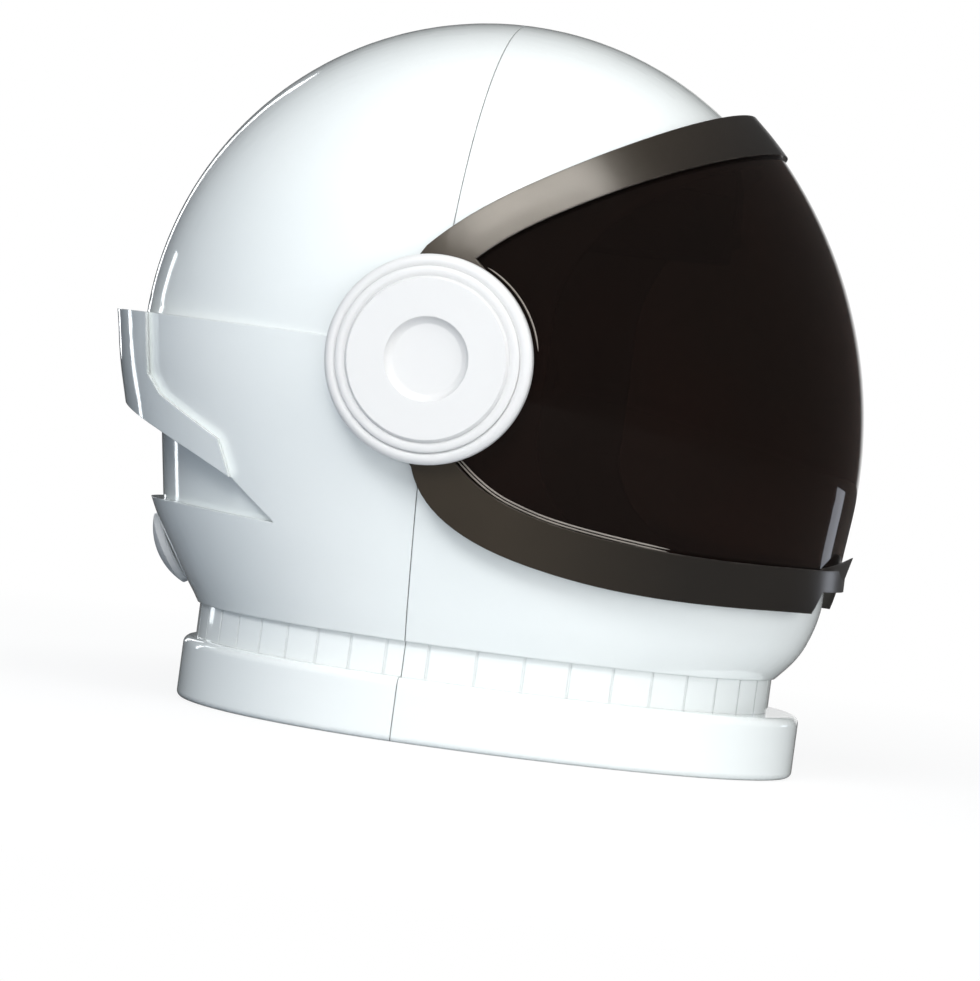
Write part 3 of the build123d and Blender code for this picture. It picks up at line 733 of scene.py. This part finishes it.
bandValues = {
    "centre": (-0.0013, 0.0),
    "halfLength": 0.096,       # inner face of the band
    "halfWidth": 0.077,
    "gap": 0.00015,            # between the band and the strip
    "low": 0.2203,
    "high": 0.2437,
    "thick": 0.0047,
    "reach": 72.0,             # degrees each side of the forehead
    "steps": 220,
    "sides": 28,
    "channels": 11,
    "channelPower": 0.45,
    "sewnThick": 0.50,         # share of the thickness that is left at a seam
    "sewnTall": 0.05,          # and of the height that is lost there
    "endSteepness": 24,        # an end rounds off over half the strip divided by this
    "endThick": 0.03,          # shares that are left at the very end
    "endTall": 0.82,
    "deepPower": 0.7,          # these square the section
    "tallPower": 0.55,
}


def makeSweatband(values):
    # Padded strip sewn across into channels, crowned toward the brow
    points, faces = [], []
    steps, sides = values["steps"], values["sides"]
    middle = (values["low"] + values["high"]) / 2
    half = (values["high"] - values["low"]) / 2
    long, wide = values["halfLength"], values["halfWidth"]
    sewn, plump = values["sewnThick"], 1 - values["sewnThick"]
    endTall, rest = values["endTall"], 1 - values["endTall"]
    for step in range(steps + 1):
        share = step / steps
        angle = math.radians(values["reach"] * (2 * share - 1))
        spot = Vector((long * math.cos(angle), wide * math.sin(angle), 0))
        inward = Vector((-math.cos(angle) * wide, -math.sin(angle) * long, 0)).normalized()
        channel = abs(math.sin(math.pi * share * values["channels"])) ** values["channelPower"]
        end = min(1.0, (1 - abs(2 * share - 1)) * values["endSteepness"])
        rounded = math.sqrt(max(0.0, 1 - (1 - end) ** 2))
        thick = values["thick"] * (sewn + plump * channel) * max(rounded, values["endThick"])
        tall = half * (1 - values["sewnTall"] * (1 - channel)) * (endTall + rest * rounded)
        for side in range(sides):
            turn = 2 * math.pi * side / sides
            c, s = math.cos(turn), math.sin(turn)
            up = math.copysign(abs(s) ** values["tallPower"], s) * tall
            deep = (1 + math.copysign(abs(c) ** values["deepPower"], c)) / 2 * thick
            base = spot + inward * (values["gap"] + deep)
            points.append(Vector((values["centre"][0] + base.x, base.y, middle + up)))
    for step in range(steps):
        for side in range(sides):
            nextSide = (side + 1) % sides
            faces.append((step * sides + side, (step + 1) * sides + side,
                          (step + 1) * sides + nextSide, step * sides + nextSide))
    faces.append(tuple(range(sides)))
    faces.append(tuple(steps * sides + side for side in reversed(range(sides))))
    piece = newPiece("browPadding", points, faces, finishes["pad_foam"], "shell")
    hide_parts("sweatband")


crownValues = {
    "centre": (-0.0013, 0.0, 0.246),
    "reach": 0.079,            # half width and rise of the dome that it follows
    "rise": 0.0457,
    "radius": 0.0352,
    "thick": 0.0104,
    "rings": 30,
    "around": 96,
    "rimPower": 2.6,
    "topShare": 0.96,          # of the thickness, on the straps' side
    "petals": 8,
    "petalPower": 0.5,
    "sewnThick": 0.55,
    "calmRings": 3,            # rings at the middle over which the seams begin
    "pipingInset": 0.0007,
    "pipingRadius": 0.0011,
    "pipingSides": 10,
}


def makeCrownPad(values):
    # Round pad under the crossing, sewn into petals, with piping round its rim
    rings, around, calm = values["rings"], values["around"], values["calmRings"]
    centre = Vector(values["centre"])
    half = values["thick"] / 2
    least, plump = values["sewnThick"], 1 - values["sewnThick"]

    def domeHeight(radius):
        reach, rise = values["reach"] - half, values["rise"] - half
        return rise * math.sqrt(max(0.0, 1 - (radius / reach) ** 2))

    points, faces = [], []
    for face in (1, -1):
        for ring in range(rings + 1):
            share = ring / rings
            radius = values["radius"] * math.sin(share * math.pi / 2)
            full = math.sqrt(max(0.0, 1 - (radius / values["radius"]) ** values["rimPower"]))
            for step in range(around):
                angle = 2 * math.pi * step / around
                petal = abs(math.sin(angle * values["petals"] / 2)) ** values["petalPower"]
                sewn = least + plump * petal * min(ring, calm) / calm
                off = half * full * (values["topShare"] if face > 0 else sewn)
                height = domeHeight(radius) + face * off
                points.append(centre + Vector((radius * math.cos(angle), radius * math.sin(angle), height)))
    layer = (rings + 1) * around
    for side in (0, 1):
        for ring in range(rings):
            inner = side * layer + ring * around
            outer = inner + around
            for step in range(around):
                nextStep = (step + 1) % around
                quad = (inner + step, outer + step, outer + nextStep, inner + nextStep)
                faces.append(quad if side == 0 else quad[::-1])
    piece = newPiece("crownCushion", points, faces, finishes["pad_foam"], "shell")
    weldPiece(piece)
    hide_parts("crown_pad")
    centres, frames = [], []
    rim = values["radius"] - values["pipingInset"]
    for step in range(around):
        angle = 2 * math.pi * step / around
        outward = Vector((math.cos(angle), math.sin(angle), 0))
        centres.append(centre + outward * rim + Vector((0, 0, domeHeight(rim))))
        frames.append((outward, Vector((0, 0, 1))))
    points, faces = closedTube(centres, frames, values["pipingRadius"], values["pipingSides"])
    newPiece("crownPiping", points, faces, piping, "shell")


adjusterValues = {
    "tilt": 30.4,              # degrees, of the shell behind the neck
    "behind": 0.126,           # the ear axis
    "height": 0.0645,
}


def adjusterPlane(values):
    # Columns: across, up along the shell, outward, and the place of its middle
    tilt = math.radians(values["tilt"])
    return Matrix((
        (0, -math.sin(tilt), -math.cos(tilt), pivot.x - values["behind"]),
        (1, 0, 0, 0),
        (0, math.cos(tilt), -math.sin(tilt), values["height"]),
        (0, 0, 0, 1),
    ))


napeValues = {
    "half": (0.0268, 0.0138),
    "seat": -0.0352,           # its back, on the carrier plate
    "thick": 0.0124,
    "lip": 0.0035,             # thickness at the rim
    "lean": 0.30,              # how far the outline is drawn in toward its corners
    "columns": 72,
    "rows": 40,
    "widePower": 6,
    "tallPower": 4,
    "rimPower": 0.42,
    "ribs": 3,
    "ribPower": 0.4,
    "sewnThick": 0.72,
    "pipingShare": (0.985, 0.97),
    "pipingSteps": (48, 28),
    "pipingRadius": 0.0009,
    "pipingSides": 8,
}


def makeNapePad(plane, values):
    # Crowned cushion on the carrier plate, with two sewn channels and piping
    wide, tall = values["half"]
    columns, rows = values["columns"], values["rows"]
    seat, lip, lean = values["seat"], values["lip"], values["lean"]
    least, plump = values["sewnThick"], 1 - values["sewnThick"]
    points, faces = [], []

    def outline(u, v):
        # Square shares squeezed onto a rounded oblong
        return wide * u * math.sqrt(1 - lean * v * v), tall * v * math.sqrt(1 - lean * u * u)

    for face in (0, 1):
        for row in range(rows + 1):
            v = math.sin(math.pi / 2 * (2 * row / rows - 1))
            for column in range(columns + 1):
                u = math.sin(math.pi / 2 * (2 * column / columns - 1))
                x, y = outline(u, v)
                level = max(0.0, (1 - u ** values["widePower"]) * (1 - v ** values["tallPower"]))
                edge = level ** values["rimPower"]
                rib = abs(math.cos(math.pi * values["ribs"] * u / 2)) ** values["ribPower"]
                front = seat - lip - (values["thick"] - lip) * edge * (least + plump * rib)
                points.append(plane @ Vector((x, y, front if face else seat - (1 - edge) * lip)))
    layer = (rows + 1) * (columns + 1)
    for side in (0, 1):
        for row in range(rows):
            for column in range(columns):
                a = side * layer + row * (columns + 1) + column
                quad = (a, a + 1, a + columns + 2, a + columns + 1)
                faces.append(quad if side == 0 else quad[::-1])
    piece = newPiece("napeCushion", points, faces, finishes["pad_foam"], "nape")
    weldPiece(piece)
    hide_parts("nape_pad")
    centres, frames = [], []
    long, short = values["pipingSteps"]
    loop = [(2 * step / long - 1, -1) for step in range(long)]
    loop += [(1, 2 * step / short - 1) for step in range(short)]
    loop += [(1 - 2 * step / long, 1) for step in range(long)]
    loop += [(-1, 1 - 2 * step / short) for step in range(short)]
    turned = plane.to_3x3()
    outward = turned @ Vector((0, 0, 1))
    for u, v in loop:
        x, y = outline(u, v)
        spot = Vector((x * values["pipingShare"][0], y * values["pipingShare"][1], seat - lip))
        centres.append(plane @ spot)
        frames.append(((turned @ Vector((x, y, 0))).normalized(), outward))
    points, faces = closedTube(centres, frames, values["pipingRadius"], values["pipingSides"])
    newPiece("napePiping", points, faces, piping, "nape")


strapValues = {
    "centre": (-0.0013, 0, 0),
    "width": 0.0196,
    "thick": 0.0014,
    "foot": 0.2322,            # lower end of each leg
    "spring": 0.246,           # where the arch starts
    "long": (0.0991, 0.2952),  # half length and top of each strap
    "cross": (0.0801, 0.2930),
    "legSteps": 16,
    "archSteps": 96,
    "sectionSteps": 10,        # from the middle to one side
    "sewnFrom": 0.86,          # share of the half width where the thick edge starts
    "middleThick": 0.80,
    "rimThick": 0.35,
}


def makeStrap(name, node, size, alongY, values):
    # Woven strap: a leg up each side of the band and an arch over the head
    halfLength, top = size
    foot, spring = values["foot"], values["spring"]
    legs, arch, fine = values["legSteps"], values["archSteps"], values["sectionSteps"]
    path = []
    rise = top - spring
    for step in range(legs):
        path.append((halfLength, foot + (spring - foot) * step / legs, Vector((1, 0))))
    for step in range(arch + 1):
        angle = math.pi * step / arch
        heading = Vector((math.cos(angle) / halfLength, math.sin(angle) / rise)).normalized()
        path.append((halfLength * math.cos(angle), spring + rise * math.sin(angle), heading))
    for step in range(legs):
        path.append((-halfLength, spring - (spring - foot) * (step + 1) / legs, Vector((-1, 0))))
    half, thin = values["width"] / 2, values["thick"] / 2
    # Shares across and of the height: thick sewn edges and a thinner middle
    section = [(1.0, values["rimThick"])]
    for step in range(1, 2 * fine):
        across = 1 - step / fine
        section.append((across, 1.0 if abs(across) > values["sewnFrom"] else values["middleThick"]))
    section.append((-1.0, values["rimThick"]))
    section += [(across, -high) for across, high in reversed(section)]
    points, marks = [], []
    run = 0.0
    for index, (x, z, heading) in enumerate(path):
        if index:
            run += math.hypot(x - path[index - 1][0], z - path[index - 1][1])
        for across, high in section:
            flat = Vector((x, 0, z)) + Vector((heading.x, 0, heading.y)) * (thin * high)
            flat.y = across * half
            if alongY:
                flat = Vector((-flat.y, flat.x, flat.z))
            points.append(flat + Vector(values["centre"]))
            marks.append((across * half * 1000, run * 1000))  # millimetres
    faces = cappedFaces(0, len(path) - 1, len(section))
    piece = newPiece(name, points, faces, finishes["strap_webbing"], "shell")
    layer = piece.data.uv_layers.new(name="strapMap")
    for loop in piece.data.loops:
        layer.data[loop.index].uv = marks[loop.vertex_index]
    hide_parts(node)


def smoothRoute(points, steps):
    # Evenly shared samples on a smooth line through the given points
    spots = [Vector(point) for point in points]
    spots = [spots[0] * 2 - spots[1]] + spots + [spots[-1] * 2 - spots[-2]]
    route = []
    for index in range(1, len(spots) - 2):
        before, start, end, after = spots[index - 1:index + 3]
        for step in range(steps):
            t = step / steps
            pull = (end - before) * t + (before * 2 - start * 5 + end * 4 - after) * t ** 2
            route.append(start + (pull + (start * 3 - before - end * 3 + after) * t ** 3) / 2)
    return route + [spots[-2]]


beadValues = {                 # millimetres
    # The window's lower edge in side view, ahead of the ear axis and above the foot
    "lowerEdge": ((15.0, 120.6), (24.0, 113.0), (34.0, 106.7), (46.0, 102.2), (58.0, 99.1),
                  (74.0, 96.5), (90.0, 94.5), (104.0, 93.0)),
    "edgeSteps": 14,           # between two of those points
    "outer": 0.45,             # the two lines above that edge
    "inner": 1.65,
    "radius": 0.42,
    "sides": 8,
    "taper": 9,                # steps over which each end comes to a point
    "capReach": 44.4,          # the line that goes round the ear cap
    "capTurns": (66.0, 12.0),  # degrees above the level, from the upper band
    "capSteps": 48,
    "aside": 300.0,            # where the rays that find the window start
}


def beadRoutes(values):
    # Each line in side view, with how far it is moved off its route
    lower = smoothRoute(values["lowerEdge"], values["edgeSteps"])
    first, last = (math.radians(value) for value in values["capTurns"])
    ring = []
    for step in range(values["capSteps"] + 1):
        angle = first + (last - first) * step / values["capSteps"]
        ring.append(Vector((math.cos(angle) * values["capReach"],
                            pivot.z * 1000 + math.sin(angle) * values["capReach"])))
    return (lower, values["outer"]), (lower, values["inner"]), (ring, 0.0)


def makeWindowBeads(values):
    # Twin moulded lines where the window meets its lower band, and one round each ear cap, coloured pale as
    # a painted highlight
    carriers = [BVHTree.FromObject(nodes[name], bpy.context.evaluated_depsgraph_get())
                for name in ("visor_window", "visor_frame")]
    points, faces = [], []
    sides = values["sides"]
    routes = beadRoutes(values)
    for side in (1, -1):
        for route, lift in routes:
            last = len(route) - 1
            spots = []
            for index, spot in enumerate(route):
                ahead = route[min(index + 1, last)] - route[max(index - 1, 0)]
                flat = spot + Vector((-ahead.y, ahead.x)).normalized() * lift
                begin = Vector((pivot.x + flat.x / 1000, side * values["aside"] / 1000, flat.y / 1000))
                hits = [tree.ray_cast(begin, Vector((0, -side, 0))) for tree in carriers]
                hits = [hit for hit in hits if hit[0] is not None]
                spots.append(min(hits, key=lambda hit: hit[3])[:2])
            faces += cappedFaces(len(points), last, sides)
            for index, (place, normal) in enumerate(spots):
                ahead = (spots[min(index + 1, last)][0] - spots[max(index - 1, 0)][0]).normalized()
                second = ahead.cross(normal).normalized()
                end = min(1.0, (0.5 + min(index, last - index)) / values["taper"])
                thick = values["radius"] / 1000 * math.sqrt(end)
                points += circlePoints(place, normal, second, thick, sides)
    newPiece("windowBeads", points, faces, highlightBeads, "visor")


makeWindowBeads(beadValues)
print("window beads laid")

makeSweatband(bandValues)
makeCrownPad(crownValues)
makeNapePad(adjusterPlane(adjusterValues), napeValues)
makeStrap("webbingLong", "crown_strap_long", strapValues["long"], False, strapValues)
makeStrap("webbingCross", "crown_strap_cross", strapValues["cross"], True, strapValues)
print("soft pieces made")


# Studio
floorValues = {
    "half": 7.0,
    "drop": 0.0002,                    # below the ring
    "paper": rgb(0.93, 0.94, 0.95),
    "bounce": rgb(0.74, 0.76, 0.78),   # what the floor throws back on the helmet
    "rearBounce": rgb(0.05, 0.09, 0.15),  # the same behind it
    "change": (0.12, -0.30),           # where one passes into the other
    "inGloss": rgb(0.07, 0.065, 0.06), # what polished faces see of it
    "glossShare": 0.02,                # and how much plain white with that
    "middle": (0.0172, 0.0, 0.0),      # of the ring
    "underRing": (0.110, 0.114),       # from that middle, no white is shown inside the ring
    "fade": (0.22, 0.75, 0.84, 1.0),   # near and far, and how plain white it is shown there
}


def makeFloor(values):
    half = values["half"]
    corners = [(-half, -half, 0), (half, -half, 0), (half, half, 0), (-half, half, 0)]
    mesh = bpy.data.meshes.new("studioFloor")
    mesh.from_pydata(corners, [], [(0, 1, 2, 3)])
    floor = placeObject("studioFloor", mesh)
    floor.location.z = -values["drop"]
    material = bpy.data.materials.new("studioFloor")
    tree = emptyTree(material)
    paper = addNode(tree, "BsdfDiffuse", {"Color": values["paper"]})
    rays = addNode(tree, "LightPath").outputs
    place = objectPlace(tree)
    behind = fitRange(tree, addNode(tree, "SeparateXYZ", {0: place}).outputs["X"], *values["change"])
    lit = mixColour(tree, behind, values["bounce"], values["rearBounce"])
    thrown = mixColour(tree, rays["Is Glossy Ray"], lit, values["inGloss"])
    bounce = addNode(tree, "BsdfDiffuse", {"Color": thrown})
    white = addNode(tree, "Emission", {"Color": rgb(1, 1, 1), "Strength": 1.0})
    away = addNode(tree, "VectorMath", {0: place, 1: values["middle"]},
                   operation="DISTANCE").outputs["Value"]
    outside = fitRange(tree, away, *values["underRing"])
    share = mathNode(tree, "MULTIPLY", outside, fitRange(tree, away, *values["fade"]))
    shown = mixShaders(tree, share, paper, white)
    gloss = mathNode(tree, "MULTIPLY", rays["Is Glossy Ray"], outside)
    gloss = mathNode(tree, "MULTIPLY", gloss, values["glossShare"])
    hidden = mixShaders(tree, gloss, bounce, white)
    clear = mathNode(tree, "MAXIMUM", rays["Is Camera Ray"], rays["Is Transmission Ray"])
    mixed = mixShaders(tree, clear, hidden, shown)
    addNode(tree, "OutputMaterial", {"Surface": mixed.outputs[0]})
    mesh.materials.append(material)


worldValues = {
    "light": rgb(0.975, 0.99, 1.0),
    "rearLight": rgb(0.66, 0.82, 1.0),
    "tintRange": (-0.6, 0.0),      # from behind to ahead, where one turns into the other
    "softRange": (-0.8, 0.8, 0.14, 0.93),  # the same for the strength of the soft light
    "glossRange": (0.975, 0.999, 0.045, 1.0),  # gloss sees a dim room, and white behind the helmet
}


def makeWorld(values):
    world = bpy.data.worlds.new("studioWorld")
    bpy.context.scene.world = world
    tree = emptyTree(world)
    heading = addNode(tree, "TexCoord").outputs["Generated"]
    toward = addNode(tree, "SeparateXYZ", {0: heading}).outputs
    rays = addNode(tree, "LightPath").outputs
    ahead = fitRange(tree, toward["X"], *values["tintRange"])
    tint = mixColour(tree, ahead, values["rearLight"], values["light"])
    strength = fitRange(tree, toward["X"], *values["softRange"])
    room = fitRange(tree, toward["Y"], *values["glossRange"])
    soft = addNode(tree, "Background", {"Color": tint, "Strength": strength})
    glossy = addNode(tree, "Background", {"Color": rgb(1, 1, 1), "Strength": room})
    white = addNode(tree, "Background", {"Color": rgb(1, 1, 1), "Strength": 1.0})
    lit = mixShaders(tree, rays["Is Glossy Ray"], soft, glossy)
    seen = mathNode(tree, "MAXIMUM", rays["Is Camera Ray"], rays["Is Transmission Ray"])
    mixed = mixShaders(tree, seen, lit, white)
    addNode(tree, "OutputWorld", {"Surface": mixed.outputs[0]})


lampValues = {
    "keyLamp": {       # high, long and turned along the upper band, which shows it
        "place": (0.251, -1.045, 1.523), "aim": (0.03, -0.13, 0.23), "size": (1.42, 0.34),
        "roll": 38.0, "watts": 9.0, "colour": (1.0, 0.985, 0.96), "inGloss": True},
    "faceLamp": {      # ahead of the face
        "place": (1.40, -1.15, 0.60), "aim": (0.0, 0.0, 0.15), "size": (0.7, 0.7),
        "roll": 0.0, "watts": 4.6, "colour": (1.0, 0.99, 0.98), "inGloss": False},
    "fillLamp": {      # high enough for the strap to shade the recess
        "place": (-0.30, -1.50, 1.15), "aim": (-0.05, 0.0, 0.15), "size": (0.7, 0.5),
        "roll": 0.0, "watts": 12.8, "colour": (0.98, 0.99, 1.0), "inGloss": False},
    "rearLamp": {      # above and behind the head
        "place": (-1.35, -0.60, 1.10), "aim": (0.0, 0.0, 0.15), "size": (1.0, 1.0),
        "roll": 0.0, "watts": 2.8, "colour": (0.90, 0.96, 1.0), "inGloss": False},
    "lowLamp": {       # low and long, for the chin, the neck and the ring
        "place": (0.10, -1.70, 0.20), "aim": (0.0, 0.0, 0.15), "size": (1.4, 0.3),
        "roll": 0.0, "watts": 4.4, "colour": (0.99, 1.0, 1.0), "inGloss": False},
    "rimLamp": {       # thin bright line down the back of the dome
        "place": (-0.95, 1.70, 0.50), "aim": (0.0, 0.0, 0.18), "size": (0.10, 0.9),
        "roll": 0.0, "watts": 1.0, "colour": (0.95, 0.98, 1.0), "inGloss": True},
    "edgeLamp": {      # streak low at the back
        "place": (-0.44, 0.23, 0.13), "aim": (-0.10, -0.06, 0.12), "size": (0.028, 0.24),
        "roll": 0.0, "watts": 0.07, "colour": (0.92, 0.97, 1.0), "inGloss": True},
    "stripLamp": {     # short bar low at the window's front
        "place": (0.50, 0.47, 0.065), "aim": (0.16, -0.03, 0.11), "size": (0.11, 0.08),
        "roll": 0.0, "watts": 0.035, "colour": (0.82, 0.88, 1.0), "inGloss": True},
}


def makeLamp(name, values):
    data = bpy.data.lights.new(name, "AREA")
    data.shape = "RECTANGLE"
    data.size, data.size_y = values["size"]
    data.energy = values["watts"]
    data.color = values["colour"]
    lamp = placeObject(name, data)
    lamp.location = values["place"]
    heading = Vector(values["aim"]) - Vector(values["place"])
    roll = Quaternion((0, 0, 1), math.radians(values["roll"]))
    lamp.rotation_mode = "QUATERNION"
    lamp.rotation_quaternion = heading.to_track_quat("-Z", "Y") @ roll
    lamp.visible_glossy = values["inGloss"]
    lamp.visible_transmission = values["inGloss"]
    lamp.visible_camera = False


makeFloor(floorValues)
makeWorld(worldValues)
for name, values in lampValues.items():
    makeLamp(name, values)
bpy.context.scene.view_settings.view_transform = "Standard"
print("studio lit")

bpy.context.view_layer.update()
